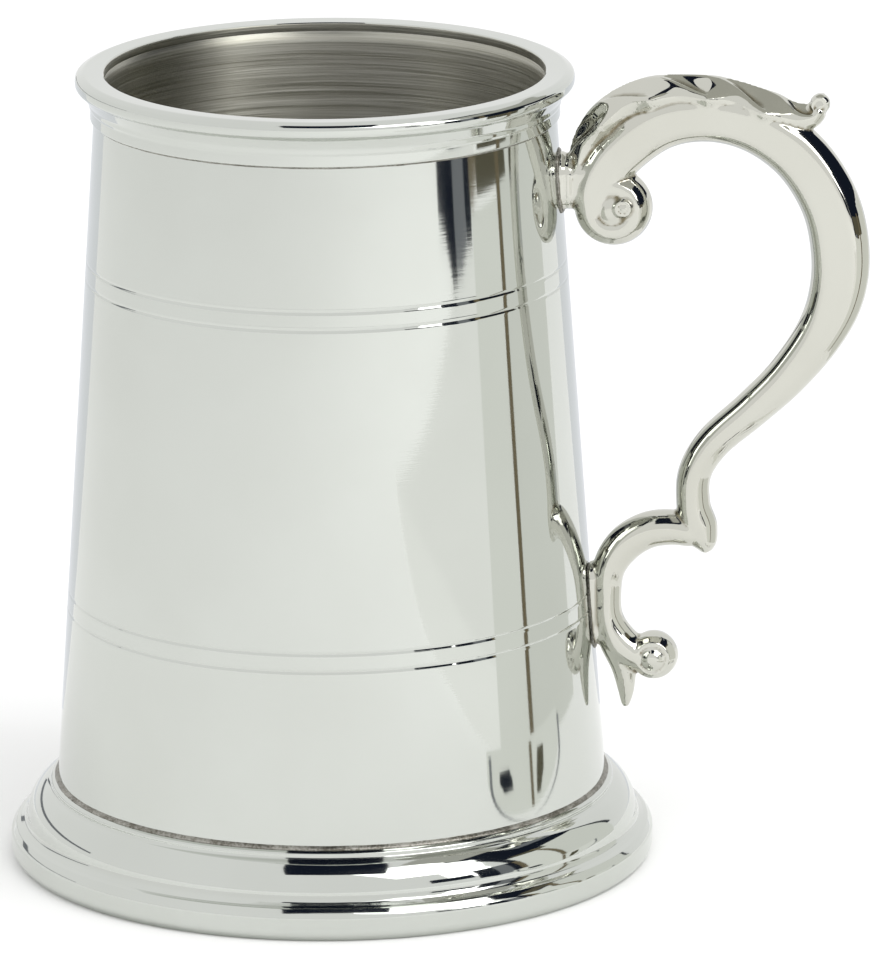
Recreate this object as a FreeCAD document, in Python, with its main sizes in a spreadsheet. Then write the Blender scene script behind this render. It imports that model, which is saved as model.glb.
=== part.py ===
import FreeCAD, Part
import math
import os

import Sketcher

# Lidless pewter tankard of one imperial pint. Millimetres, +Z up, the handle along +X.
# The origin is on the barrel's axis, on the surface that the foot stands on.
# Turned pieces are half-sections revolved about Z. Solder seams are pieces of their own.

V = FreeCAD.Vector

# ---------------------------------------------------------------- driving dimensions
SIZES = {
    # barrel: a tapered tube of sheet, with two pairs of turned lines
    "brim_height": 126.4,
    "barrel_base_radius": 44.2,
    "barrel_mouth_radius": 35.6,
    "barrel_wall": 1.3,
    "barrel_lift": 1.2,
    "line_depth": 0.15,
    "line_width": 0.6,
    "upper_lines_drop": 29.8,
    "lower_lines_drop": 83.0,
    "line_spacing": 2.8,
    # mouth band: a moulded ring that caps the barrel's edge
    "band_height": 7.3,
    "band_stand_off": 0.5,
    "band_cap": 1.5,
    "lip_overhang": 3.3,
    "lip_drop": 1.0,
    "lip_crown": 0.35,
    "neck_drop": 4.6,
    "rim_round": 0.9,
    # floor: a flat disc inside the barrel's lower end
    "floor_underside": 3.2,
    "floor_thickness": 1.6,
    # foot: a cast and turned ring, hollowed underneath
    "foot_spread": 6.7,
    "foot_band_height": 4.8,
    "foot_round": 0.8,
    "foot_rest_width": 2.4,
    "foot_step_height": 6.2,
    "foot_step_inset": 2.7,
    "foot_seam_height": 12.7,
    "foot_bead_out": 1.2,
    "foot_bead_height": 0.9,
    "foot_dome_swell": 1.1,
    "foot_wall": 2.0,
    "foot_seat": 6.8,
    # soft solder: fillets in the corners, and thin pads behind the handle's two lugs
    "foot_fillet": 0.5,
    "band_fillet": 0.35,
    "floor_fillet": 1.2,
    "pad_thickness": 0.3,
    # handle: one casting, drawn as stations that stand off the barrel's wall
    "handle_breadth": 7.0,
    "handle_round": 2.3,
    "lug_top_drop": 11.9,
    "upper_lug_height": 9.9,
    "lower_lug_base": 34.1,
    "lower_lug_height": 13.8,
    "upper_lug_reach": 7.0,
    "lower_lug_reach": 4.0,
    "upper_lug_breadth": 7.0,
    "lower_lug_breadth": 6.0,
    "roll_radius": 4.9,
    "roll_breadth": 8.6,
    "ball_radius": 3.9,
    "curl_radius": 1.65,
    "curl_breadth": 4.4,
}

# Shares that shape the roundings.
DIAGONAL = 0.7      # how much of a slanting swell falls along each axis
BEAD_BULGE = 0.15   # of the bead's height, for its arc
BAND_HOLLOW = 0.4   # of the band's rounding, for the hollow step above it
LUG_ROUND = 0.4     # of a lug's breadth, for its long edges
MOST_ROUND = 0.45   # of a section's smaller side, for its corners

# The pattern's centre line: stand-off from the barrel's wall, rise above the lower lug's
# middle as drawn for a handle whose lugs are PATTERN_SPAN apart, depth of the section, and
# its breadth as a share of the handle's where that isn't the same all along.
PATTERN_SPAN = 68.55
BOW = [
    (5.6, 66.3, 8.0),
    (9.4, 72.8, 8.4),
    (16.3, 77.7, 8.5),
    (23.9, 79.0, 8.4),
    (31.3, 77.3, 8.6),
    (37.7, 72.6, 9.0),
    (41.8, 65.3, 9.2),
    (42.9, 57.4, 9.2),
    (41.8, 50.5, 8.7),
    (38.7, 44.2, 7.6),
    (33.3, 37.5, 6.6),
    (27.5, 32.1, 6.0),
    (21.1, 26.6, 5.6),
    (17.8, 21.6, 5.3),
    (17.1, 16.5, 5.3),
    (17.7, 10.9, 4.6),
]
LOWER_SCROLL = [
    (16.9, 13.1, 3.6),
    (13.6, 12.8, 5.2),
    (9.6, 12.0, 5.8),
    (5.8, 9.6, 5.8),
    (3.2, 5.8, 5.2),
    (2.5, 1.1, 4.6),
    (2.6, -2.7, 4.8),
    (4.3, -6.3, 5.6),
    (8.3, -8.4, 5.4),
]
LOWER_SCROLL_SHARE = 0.914
LEAF_POINT = [
    (2.9, -5.5, 4.6, 0.714),
    (4.3, -10.0, 4.0, 0.657),
    (4.4, -13.6, 2.4, 0.429),
    (4.4, -16.1, 0.9, 0.143),
]
ACANTHUS = [
    (1.6, 71.5, 3.4, 0.771),
    (6.3, 78.6, 4.4, 0.929),
    (13.1, 82.8, 4.4, 1.114),
    (21.3, 83.7, 4.0, 1.143),
    (29.3, 82.9, 4.0, 1.086),
    (35.5, 81.1, 3.8, 0.914),
    (41.0, 80.9, 2.4, 0.543),
]
ROLL_PLACE = (7.7, 64.0)
CURL_PLACE = (41.3, 81.1)
BALL_PLACE = (9.1, -8.1)

document = FreeCAD.newDocument("Tankard")
sheet = document.addObject("Spreadsheet::Sheet", "Sizes")
for row, (alias, number) in enumerate(SIZES.items(), start=1):
    sheet.set(f"A{row}", alias)
    sheet.set(f"B{row}", str(number))
    sheet.setAlias(f"B{row}", alias)
document.recompute()


class Dim:
    """A length worked out from the sheet: its value, and the expression that gives it."""

    def __init__(self, text, value):
        self.text = text
        self.value = value

    def _join(self, sign, other, value):
        right = other.text if isinstance(other, Dim) else repr(other)
        return Dim(f"({self.text} {sign} {right})", value)

    def __add__(self, other):
        return self._join("+", other, self.value + number_of(other))

    def __sub__(self, other):
        return self._join("-", other, self.value - number_of(other))

    def __mul__(self, other):
        return self._join("*", other, self.value * number_of(other))

    def __truediv__(self, other):
        return self._join("/", other, self.value / number_of(other))

    def __neg__(self):
        return self * -1.0


def number_of(size):
    return size.value if isinstance(size, Dim) else float(size)


def size(alias):
    return Dim(f"Sizes.{alias}", float(sheet.get(alias)))


def bind(thing, name, dim):
    """Ties a property, or a placement's coordinate, to the sheet."""
    thing.setExpression(name, dim.text)


def half(dim):
    return dim / 2


def between(start, end, out, up):
    """A point to draw an arc through: half-way between two corners, then moved out and up."""
    return half(start[0] + end[0]) + out, half(start[1] + end[1]) + up


# ---------------------------------------------------------------- places worked out
GROUND = Dim("0", 0.0)
AXIS = Dim("0", 0.0)
brim = size("brim_height")
wall = size("barrel_wall")
barrel_end = size("barrel_lift")
barrel_taper = (size("barrel_base_radius") - size("barrel_mouth_radius")) / brim
barrel_top = brim - size("band_cap")
band_foot = brim - size("band_height")
floor_under = size("floor_underside")
floor_top = floor_under + size("floor_thickness")
seam = size("foot_seam_height")
seat_end = seam - size("foot_seat")
foot_radius = size("barrel_base_radius") + size("foot_spread")
upper_lug_base = brim - size("lug_top_drop") - size("upper_lug_height")
upper_lug_middle = upper_lug_base + half(size("upper_lug_height"))
lower_lug_middle = size("lower_lug_base") + half(size("lower_lug_height"))
handle_stretch = (upper_lug_middle - lower_lug_middle) / PATTERN_SPAN


def outside(height):
    """The barrel's outer radius at a height."""
    return size("barrel_base_radius") - barrel_taper * height


def inside(height):
    """The barrel's inner radius at a height."""
    return outside(height) - wall


# ---------------------------------------------------------------- turned pieces
def origin_plane(body, role):
    return next(f for f in body.Origin.OriginFeatures if f.Role == role)


def half_section(body, name, outline):
    """A closed half-section on the body's XZ plane.

    Each corner is (radius, height). A third item is a point on the arc that leads to it."""
    sketch = body.newObject("Sketcher::SketchObject", name)
    sketch.AttachmentSupport = [(origin_plane(body, "XZ_Plane"), "")]
    sketch.MapMode = "FlatFace"
    corners = [(c[0], c[1]) for c in outline]
    for i, corner in enumerate(outline):
        start, end = (V(number_of(c[0]), number_of(c[1]), 0) for c in (corners[i - 1], corners[i]))
        if len(corner) == 3:
            through = V(number_of(corner[2][0]), number_of(corner[2][1]), 0)
            edge = sketch.addGeometry(Part.Arc(start, through, end))
            clockwise = (through - start).cross(end - start).z < 0
            first, last = (2, 1) if clockwise else (1, 2)
            via = sketch.addGeometry(Part.Point(through), True)
            sketch.addConstraint(Sketcher.Constraint("PointOnObject", via, 1, edge))
            place(sketch, via, 1, corner[2])
        else:
            edge = sketch.addGeometry(Part.LineSegment(start, end))
            first, last = 1, 2
        place(sketch, edge, last, corner)
        if i:
            sketch.addConstraint(Sketcher.Constraint("Coincident", joint[0], joint[1], edge, first))
        else:
            opening = (edge, first)
        joint = (edge, last)
    sketch.addConstraint(Sketcher.Constraint("Coincident", joint[0], joint[1], *opening))
    return sketch


def place(sketch, geometry, point, corner):
    """Ties a sketch point's radius and height to the sheet."""
    for kind, dim in (("DistanceX", corner[0]), ("DistanceY", corner[1])):
        if number_of(dim) == 0:
            axis = -2 if kind == "DistanceX" else -1
            sketch.addConstraint(Sketcher.Constraint("PointOnObject", geometry, point, axis))
            continue
        rule = Sketcher.Constraint(kind, -1, 1, geometry, point, number_of(dim))
        index = sketch.addConstraint(rule)
        sketch.setExpression(f"Constraints[{index}]", dim.text)


def turned(name, outline):
    """A body made by revolving a half-section about Z."""
    body = document.addObject("PartDesign::Body", name)
    body.Label = name
    sketch = half_section(body, f"{name}_section", outline)
    spin = body.newObject("PartDesign::Revolution", f"{name}_turning")
    spin.Profile = sketch
    spin.ReferenceAxis = (sketch, ["V_Axis"])
    spin.Angle = 360.0
    document.recompute()
    return body


def turned_line(body, name, height):
    """A shallow V cut round the barrel."""
    depth = size("line_depth")
    proud = depth * 2
    reach = size("line_width") * 1.5
    outline = [
        (outside(height) - depth, height),
        (outside(height) + proud, height - reach),
        (outside(height) + proud, height + reach),
    ]
    cut = body.newObject("PartDesign::Groove", f"{name}_cut")
    cut.Profile = half_section(body, f"{name}_section", outline)
    cut.ReferenceAxis = (cut.Profile[0], ["V_Axis"])
    cut.Angle = 360.0
    document.recompute()


def barrel():
    body = turned("barrel", [
        (outside(barrel_end), barrel_end),
        (outside(barrel_top), barrel_top),
        (inside(barrel_top), barrel_top),
        (inside(barrel_end), barrel_end),
    ])
    before = body.Shape.Volume
    for pair in ("upper", "lower"):
        for i in range(2):
            height = brim - size(f"{pair}_lines_drop") - size("line_spacing") * float(i)
            turned_line(body, f"{pair}_line_{i + 1}", height)
    if body.Shape.Volume >= before:
        raise RuntimeError("the turned lines cut nothing")
    return body


def mouth_band():
    lip = outside(brim) + size("lip_overhang")
    lip_height = brim - size("lip_drop")
    neck_height = brim - size("neck_drop")
    band = outside(band_foot) + size("band_stand_off")
    neck = outside(neck_height) + size("band_stand_off")
    crown = size("lip_crown")
    bore = inside(barrel_top)
    mouth = bore + size("rim_round")
    return turned("mouth_band", [
        (bore, barrel_top),
        (mouth, brim - crown, (bore + size("rim_round") / 4, brim - crown * 2)),
        (lip - crown, brim - crown, (half(mouth + lip), brim)),
        (lip - crown, lip_height - size("lip_drop"), (lip, lip_height)),
        (neck, neck_height, (neck + size("lip_overhang") / 4, neck_height + size("lip_drop"))),
        (band, band_foot),
        (outside(band_foot), band_foot),
        (outside(barrel_top), barrel_top),
    ])


def floor():
    return turned("floor", [
        (AXIS, floor_under),
        (inside(floor_under), floor_under),
        (inside(floor_top), floor_top),
        (AXIS, floor_top),
    ])


def foot_ring():
    """A small bead at the seam, a domed shoulder, a hollow step and a rounded band."""
    rounding = size("foot_round")
    bead_height = size("foot_bead_height")
    swell = size("foot_dome_swell") * DIAGONAL
    hollow = -(rounding * BAND_HOLLOW)
    base = foot_radius - rounding
    bead = (outside(seam) + size("foot_bead_out"), seam - bead_height)
    step = (foot_radius - size("foot_step_inset"), size("foot_step_height"))
    band_top = (base, size("foot_band_height"))
    rest_inner = base - size("foot_rest_width")
    return turned("foot_ring", [
        (outside(seam), seam),
        (outside(seam) + size("foot_fillet"), seam),
        bead + ((bead[0] - bead_height * BEAD_BULGE, seam - bead_height * BEAD_BULGE * 2),),
        step + (between(bead, step, swell, swell),),
        band_top + (between(step, band_top, hollow, hollow),),
        (base, GROUND, (foot_radius, half(band_top[1]))),
        (rest_inner, GROUND),
        (rest_inner, half(band_top[1])),
        (step[0] - size("foot_wall"), seat_end - half(size("foot_wall"))),
        (outside(seat_end), seat_end),
    ])


def fillet_ring(name, corner, along, across):
    """Solder in a corner: a ring of triangular section between a wall and a face."""
    return turned(name, [corner, along, across])


def foot_solder():
    reach = size("foot_fillet")
    top = seam + reach
    return fillet_ring("foot_solder", (outside(seam), seam),
                       (outside(seam) + reach, seam), (outside(top), top))


def band_solder():
    reach = size("band_fillet")
    low = band_foot - reach
    return fillet_ring("band_solder", (outside(band_foot), band_foot),
                       (outside(low), low), (outside(band_foot) + reach, band_foot))


def floor_solder():
    reach = size("floor_fillet")
    low = floor_under - reach
    return fillet_ring("floor_solder", (inside(floor_under), floor_under),
                       (inside(floor_under) - reach, floor_under), (inside(low), low))


# ---------------------------------------------------------------- handle
def spot(stand_off, rise):
    """Where a point of the handle's pattern lies: (distance from the axis, height)."""
    height = lower_lug_middle + handle_stretch * rise
    return outside(height) + stand_off, height


def section(centre, along, depth, breadth):
    """A rounded rectangle across the handle, square to its centre line."""
    across = V(-along.z, 0, along.x)
    side = V(0, 1, 0)
    radius = min(number_of(size("handle_round")), MOST_ROUND * depth, MOST_ROUND * breadth)
    half_depth = depth / 2
    half_breadth = breadth / 2
    turns = [(1, 1), (-1, 1), (-1, -1), (1, -1)]
    edges = []
    ends = []
    for i, (u, w) in enumerate(turns):
        hub = centre + across * (u * (half_depth - radius)) + side * (w * (half_breadth - radius))
        out_u = across * (u * radius)
        out_w = side * (w * radius)
        first, last = (out_u, out_w) if i % 2 == 0 else (out_w, out_u)
        middle = (out_u + out_w).normalize() * radius
        ends.append((hub + first, hub + middle, hub + last))
    for i, (start, middle, end) in enumerate(ends):
        edges.append(Part.Arc(start, middle, end).toShape())
        edges.append(Part.LineSegment(end, ends[(i + 1) % 4][0]).toShape())
    return Part.Wire(edges)


def strap(name, stations, share=1.0):
    """A cast strap: rounded sections lofted along a smooth line through the stations.

    share is the strap's breadth as a share of the handle's, where the stations don't say."""
    points = []
    for station in stations:
        x, z = spot(station[0], station[1])
        points.append(V(x.value, 0, z.value))
    line = Part.BSplineCurve()
    line.interpolate(points)
    wires = []
    for point, station in zip(points, stations):
        along = line.tangent(line.parameter(point))[0]
        breadth = size("handle_breadth") * (station[3] if len(station) == 4 else share)
        wires.append(section(point, along, station[2], breadth.value))
    strip = document.addObject("Part::Feature", name)
    strip.Shape = Part.makeLoft(wires, True, False)
    return strip


def cross_roll(name, centre, radius, breadth):
    """A short cylinder across the handle, as at the end of a scroll."""
    roll = document.addObject("Part::Cylinder", name)
    x, z = spot(*centre)
    bind(roll, "Radius", radius)
    bind(roll, "Height", breadth)
    roll.Placement.Rotation = FreeCAD.Rotation(V(1, 0, 0), -90)
    bind(roll, "Placement.Base.x", x)
    bind(roll, "Placement.Base.y", -half(breadth))
    bind(roll, "Placement.Base.z", z)
    return roll


def lug(name, reach, base, height, breadth):
    """A block from inside the barrel's wall out to the handle, rounded along its length."""
    block = document.addObject("Part::Box", f"{name}_block")
    inner = outside(base + height)
    bind(block, "Length", reach)
    bind(block, "Width", breadth)
    bind(block, "Height", height)
    bind(block, "Placement.Base.x", inner - half(wall))
    bind(block, "Placement.Base.y", -half(breadth))
    bind(block, "Placement.Base.z", base)
    document.recompute()
    rounded = document.addObject("Part::Fillet", name)
    rounded.Base = block
    radius = number_of(breadth) * LUG_ROUND
    lengthwise = [
        (i + 1, radius, radius)
        for i, edge in enumerate(block.Shape.Edges)
        if abs(edge.tangentAt(edge.FirstParameter).x) > 0.99
    ]
    rounded.Edges = lengthwise
    return rounded


def barrel_cone(name, swell):
    """A solid cone on the barrel's outer wall, swollen by the thickness given."""
    cone = document.addObject("Part::Cone", name)
    bind(cone, "Radius1", outside(barrel_end) + swell)
    bind(cone, "Radius2", outside(brim) + swell)
    bind(cone, "Height", brim - barrel_end)
    bind(cone, "Placement.Base.z", barrel_end)
    return cone


def combine(kind, name, *pieces):
    result = document.addObject(kind, name)
    if kind == "Part::MultiFuse":
        result.Shapes = list(pieces)
    else:
        result.Base, result.Tool = pieces
    return result


def handle_and_pads():
    """The casting, cut back to leave its solder pads room, and the two pads."""
    pad = size("pad_thickness")

    def upper_lug(name):
        return lug(name, size("upper_lug_reach"), upper_lug_base, size("upper_lug_height"),
                   size("upper_lug_breadth"))

    def lower_lug(name):
        return lug(name, size("lower_lug_reach"), size("lower_lug_base"), size("lower_lug_height"),
                   size("lower_lug_breadth"))

    ball = document.addObject("Part::Sphere", "lower_ball")
    ball_x, ball_z = spot(*BALL_PLACE)
    bind(ball, "Radius", size("ball_radius"))
    bind(ball, "Placement.Base.x", ball_x)
    bind(ball, "Placement.Base.z", ball_z)
    pieces = [
        strap("bow", BOW),
        strap("lower_scroll", LOWER_SCROLL, LOWER_SCROLL_SHARE),
        strap("leaf_point", LEAF_POINT),
        strap("acanthus", ACANTHUS),
        cross_roll("upper_roll", ROLL_PLACE, size("roll_radius"), size("roll_breadth")),
        cross_roll("curl", CURL_PLACE, size("curl_radius"), size("curl_breadth")),
        upper_lug("upper_lug"),
        lower_lug("lower_lug"),
        ball,
    ]
    casting = combine("Part::MultiFuse", "casting", *pieces)
    handle = combine("Part::Cut", "handle", casting, barrel_cone("handle_room", pad))
    handle.Label = "handle"

    skin = combine("Part::Cut", "pad_skin", barrel_cone("pad_outside", pad),
                   barrel_cone("pad_inside", GROUND))
    pads = []
    for name, make in (("upper_lug_solder", upper_lug), ("lower_lug_solder", lower_lug)):
        solder = combine("Part::Common", name, make(f"{name}_outline"), skin)
        solder.Label = name
        pads.append(solder)
    document.recompute()
    return [handle] + pads


# ---------------------------------------------------------------- build, check, export
subparts = [
    barrel(),
    mouth_band(),
    floor(),
    foot_ring(),
    foot_solder(),
    band_solder(),
    floor_solder(),
]
subparts += handle_and_pads()
document.recompute()

for thing in document.Objects:
    if "Invalid" in thing.State or "Error" in thing.State:
        raise RuntimeError(f"{thing.Name} failed to recompute")

os.makedirs("parts", exist_ok=True)
for subpart in subparts:
    shape = subpart.Shape
    if shape.isNull() or not shape.isValid() or len(shape.Solids) != 1:
        raise RuntimeError(f"{subpart.Label} isn't one valid solid")
    shape.exportStep(f"parts/{subpart.Label}.step")
    print(f"{subpart.Label:18s} {shape.Volume:10.1f} mm3")

capacity = math.pi / 3 * (brim.value - floor_top.value) * (
    inside(brim).value ** 2
    + inside(floor_top).value ** 2
    + inside(brim).value * inside(floor_top).value
)
print(f"capacity to the brim {capacity / 1000:.0f} ml")
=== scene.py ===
# %% [markdown]
# # A pewter tankard of one pint
# The real one is a tapered tube of polished pewter, soldered into a turned foot, with a moulded
# band round its mouth and a cast scroll handle. This lesson makes each of those pieces in the
# place that the measured frame gives for it, then finishes, lights and frames it.

# %% Load the measured frame
import math

import bpy
import numpy as np
from mathutils import Matrix, Vector


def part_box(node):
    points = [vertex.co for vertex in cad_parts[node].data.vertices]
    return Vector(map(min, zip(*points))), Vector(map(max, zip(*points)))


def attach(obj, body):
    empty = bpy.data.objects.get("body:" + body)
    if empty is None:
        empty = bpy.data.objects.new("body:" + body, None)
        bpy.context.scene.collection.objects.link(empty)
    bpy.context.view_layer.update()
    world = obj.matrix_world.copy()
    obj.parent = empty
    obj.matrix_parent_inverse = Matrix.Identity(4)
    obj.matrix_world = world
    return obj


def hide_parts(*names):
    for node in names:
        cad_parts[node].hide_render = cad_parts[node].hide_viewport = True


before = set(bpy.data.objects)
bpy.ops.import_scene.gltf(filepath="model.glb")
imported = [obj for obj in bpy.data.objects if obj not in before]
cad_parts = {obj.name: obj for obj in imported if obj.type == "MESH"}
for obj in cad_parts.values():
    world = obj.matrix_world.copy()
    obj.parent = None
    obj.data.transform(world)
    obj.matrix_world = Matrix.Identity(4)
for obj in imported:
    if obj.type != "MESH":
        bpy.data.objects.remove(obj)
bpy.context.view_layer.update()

MM = 0.001
TAU = math.tau

# %% [markdown]
# ## Camera
# The tankard is seen from far away through a long lens, a little above its rim, with the handle
# to the right and turned slightly towards us. A long lens keeps the sides of the barrel from
# leaning, so the camera stands about a metre and a half off.

# %% Camera
CAMERA_DISTANCE = 1.467149
CAMERA_HEIGHT = 0.452781
CAMERA_LENS = 361.87
SENSOR_WIDTH = 36.0
CLIP_NEAR, CLIP_FAR = 0.05, 40.0
HANDLE_TURN = math.radians(6.5)
YAW, PITCH, ROLL = (math.radians(a) for a in (0.7076, 14.9878, -0.3815))


def aim(yaw, pitch, roll):
    """The camera's turn: it looks along +Y, then yaws to the right, pitches down and rolls."""
    level = math.cos(pitch)
    ahead = Vector((math.sin(yaw) * level, math.cos(yaw) * level, -math.sin(pitch)))
    right = Vector((math.cos(yaw), -math.sin(yaw), 0.0))
    up = right.cross(ahead)
    across = math.cos(roll) * right + math.sin(roll) * up
    over = math.cos(roll) * up - math.sin(roll) * right
    return Matrix((across, over, -ahead)).transposed()


scene = bpy.context.scene
camera = bpy.data.objects.new("camera", bpy.data.cameras.new("camera"))
scene.collection.objects.link(camera)
camera.data.sensor_width = SENSOR_WIDTH
camera.data.lens = CAMERA_LENS
camera.data.clip_start = CLIP_NEAR
camera.data.clip_end = CLIP_FAR
turn = Matrix.Rotation(HANDLE_TURN, 3, "Z")
stand = turn @ Vector((0.0, -CAMERA_DISTANCE, CAMERA_HEIGHT))
camera.matrix_world = Matrix.Translation(stand) @ (turn @ aim(YAW, PITCH, ROLL)).to_4x4()
scene.camera = camera
print("camera at", [round(v, 4) for v in camera.location])

# %% [markdown]
# ## Places from the frame
# Every size below hangs from the boxes of the measured pieces. The barrel's wall leans in by the
# same amount for each millimetre of height, so one rule gives its radius anywhere. The handle's
# pattern is stretched a little, so that its two lugs land on the two solder pads.

# %% Places from the frame
barrel_low, barrel_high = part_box("barrel")
band_low, band_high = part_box("mouth_band")
_, foot_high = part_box("foot_ring")
floor_low, floor_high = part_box("floor")
upper_pad_low, upper_pad_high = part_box("upper_lug_solder")
lower_pad_low, lower_pad_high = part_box("lower_lug_solder")

BARREL_TAPER = 0.06804
WALL = 1.3 * MM
PAD = 0.3 * MM
brim = band_high.z
lug_high = (upper_pad_low.z + upper_pad_high.z) / 2
lug_low = (lower_pad_low.z + lower_pad_high.z) / 2
PATTERN_SPAN = 68.55 * MM
stretch = (lug_high - lug_low) / PATTERN_SPAN


def outside(height):
    """The barrel's outer radius at a height."""
    return barrel_high.x - BARREL_TAPER * (height - barrel_low.z)


def inside(height):
    """The barrel's inner radius at a height."""
    return outside(height) - WALL


print("brim", round(brim, 4), "lugs", round(lug_low, 4), round(lug_high, 4))
print("handle stretched by", round(stretch, 3))

# %% [markdown]
# ## Writing rules as node trees
# Geometry Nodes work a rule out at every point at once. Wiring maths by hand is hard to read, so
# this small helper lets a rule be written as an ordinary sum, and makes a node for each sign.
# Materials are node trees too, and are written in the same way.


# %% Writing rules as node trees
class Field:
    """A number that a tree works out at every point."""

    def __init__(self, tree, socket):
        self.tree = tree
        self.socket = socket

    def _math(self, operation, *others):
        node = self.tree.nodes.new("ShaderNodeMath")
        node.operation = operation
        for slot, item in zip(node.inputs, (self, *others)):
            feed(self.tree, slot, item)
        return Field(self.tree, node.outputs[0])

    def __add__(self, other):
        return self._math("ADD", other)

    def __sub__(self, other):
        return self._math("SUBTRACT", other)

    def __mul__(self, other):
        return self._math("MULTIPLY", other)

    def __truediv__(self, other):
        return self._math("DIVIDE", other)

    def __neg__(self):
        return self * -1.0

    def call(self, operation, *others):
        """Any other kind of sum, such as SINE or MINIMUM."""
        return self._math(operation, *others)


def feed(tree, slot, item):
    """Gives a socket a field or a plain value."""
    if isinstance(item, Field):
        tree.links.new(item.socket, slot)
    else:
        slot.default_value = item


print("fields ready")

# %% [markdown]
# ## A tree with named inputs
# A tree is built once, with a named input for each size, and can then be run many times with
# other values. Running it means hanging it on a helper object, taking the plain mesh that comes
# out, and taking the modifier off again. A mesh that a tree makes from nothing comes with an
# empty material slot, which would leave it black, so each result keeps one slot and one finish.

# %% A tree with named inputs
SAME_SPOT = 1e-6
NUDGE = 0.0001


def one_finish(mesh, finish):
    """Leaves the mesh one material slot, which every face uses."""
    mesh.materials.clear()
    mesh.materials.append(finish)
    mesh.polygons.foreach_set("material_index", [0] * len(mesh.polygons))
    return mesh


class Maker:
    """Builds one Geometry Nodes tree with named inputs, and later runs it on an object."""

    def __init__(self, name, **sizes):
        self.tree = bpy.data.node_groups.new(name, "GeometryNodeTree")
        face = self.tree.interface
        face.new_socket("Geometry", in_out="OUTPUT", socket_type="NodeSocketGeometry")
        face.new_socket("Geometry", in_out="INPUT", socket_type="NodeSocketGeometry")
        self.keys = {}
        for title, kind in sizes.items():
            spoken = title.replace("_", " ").capitalize()
            item = face.new_socket(spoken, in_out="INPUT", socket_type=f"NodeSocket{kind}")
            self.keys[title] = item.identifier
        self.entry = self.tree.nodes.new("NodeGroupInput")

    def given(self, title="geometry"):
        """One of the tree's named inputs."""
        index = 0 if title == "geometry" else 1 + list(self.keys).index(title)
        return Field(self.tree, self.entry.outputs[index])

    def node(self, kind, feeds=None, **settings):
        """A node with its settings, and its inputs fed by name or number."""
        node = self.tree.nodes.new(kind)
        for name, value in settings.items():
            setattr(node, name, value)
        for slot, item in (feeds or {}).items():
            feed(self.tree, node.inputs[slot], item)
        return node

    def out(self, kind, feeds=None, result=0, **settings):
        """The same, handed back as a field."""
        return Field(self.tree, self.node(kind, feeds, **settings).outputs[result])

    def split(self, vector):
        node = self.node("ShaderNodeSeparateXYZ", {0: vector})
        return [Field(self.tree, end) for end in node.outputs]

    def join(self, x, y, z):
        return self.out("ShaderNodeCombineXYZ", {0: x, 1: y, 2: z})

    def picked(self, geometry, value, index, kind="FLOAT_VECTOR"):
        """The value that another geometry has at one of its points."""
        feeds = {"Geometry": geometry, "Value": value, "Index": index}
        return self.out("GeometryNodeSampleIndex", feeds, data_type=kind, clamp=True)

    def finish(self, geometry, material):
        """Smooth, real and with its finish."""
        smooth = self.out("GeometryNodeSetShadeSmooth", {"Geometry": geometry})
        real = self.out("GeometryNodeRealizeInstances", {"Geometry": smooth})
        done = self.out("GeometryNodeSetMaterial", {"Geometry": real, "Material": material})
        exit_node = self.tree.nodes.new("NodeGroupOutput")
        self.tree.links.new(done.socket, exit_node.inputs[0])

    def run(self, source, **values):
        """Runs the tree on a mesh and hands back the plain mesh that comes out."""
        helper = bpy.data.objects.new("helper", source)
        scene.collection.objects.link(helper)
        step = helper.modifiers.new("rule", "NODES")
        step.node_group = self.tree
        for title, value in values.items():
            step[self.keys[title]] = value
        seen = helper.evaluated_get(bpy.context.evaluated_depsgraph_get())
        mesh = bpy.data.meshes.new_from_object(seen)
        helper.modifiers.remove(step)
        bpy.data.objects.remove(helper)
        return one_finish(mesh, values["finish"])


print("tree helper ready")

# %% [markdown]
# ## The lathe
# The barrel, band, foot, floor and solder seams are all turned: one half-section carried round
# the axis. Blender's Spin or Screw would do it, but a tree can also leave the faint waves of
# hand work in the metal, which is what makes a polished wall look real rather than perfect. The
# tree bends a flat grid into the shape: its columns become angles, and its rows follow the
# section. Where the grid's edges meet, merging closes the skin.


# %% The lathe
def lathe_tree():
    """A half-section carried round Z, with slight waves in its skin."""
    m = Maker("Turned on the lathe", steps_round="Int", closed_section="Int", wave_depth="Float",
              wave_size="Float", seed="Float", finish="Material")
    around = m.given("steps_round")
    closed = m.given("closed_section")
    outline = m.given()
    points = m.out("GeometryNodeAttributeDomainSize", {"Geometry": outline}, component="MESH")
    tall = points + closed
    grid = m.out("GeometryNodeMeshGrid", {"Vertices X": around + 1.0, "Vertices Y": tall})
    index = m.out("GeometryNodeInputIndex")
    column = (index / tall + NUDGE).call("FLOOR")
    row = index - column * tall
    place = m.out("GeometryNodeInputPosition")
    corner = m.picked(outline, place, row.call("MODULO", points))
    reach, _, height = m.split(corner)
    angle = column / around * TAU
    turned = m.join(reach * angle.call("COSINE"), reach * angle.call("SINE"), height)
    body = m.out("GeometryNodeSetPosition", {"Geometry": grid, "Position": turned})
    body = m.out("GeometryNodeMergeByDistance", {"Geometry": body, "Distance": SAME_SPOT})
    feeds = {"Vector": m.out("GeometryNodeInputPosition"), "W": m.given("seed"),
             "Scale": m.given("wave_size").call("POWER", -1.0), "Detail": 2.0}
    wave = m.out("ShaderNodeTexNoise", feeds, noise_dimensions="4D")
    push = (wave - 0.5) * m.given("wave_depth") * 2.0
    skin = m.out("GeometryNodeInputNormal")
    shift = m.out("ShaderNodeVectorMath", {0: skin, "Scale": push}, operation="SCALE")
    body = m.out("GeometryNodeSetPosition", {"Geometry": body, "Offset": shift})
    m.finish(body, m.given("finish"))
    return m


LATHE = lathe_tree()
print("lathe nodes", len(LATHE.tree.nodes))

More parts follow.
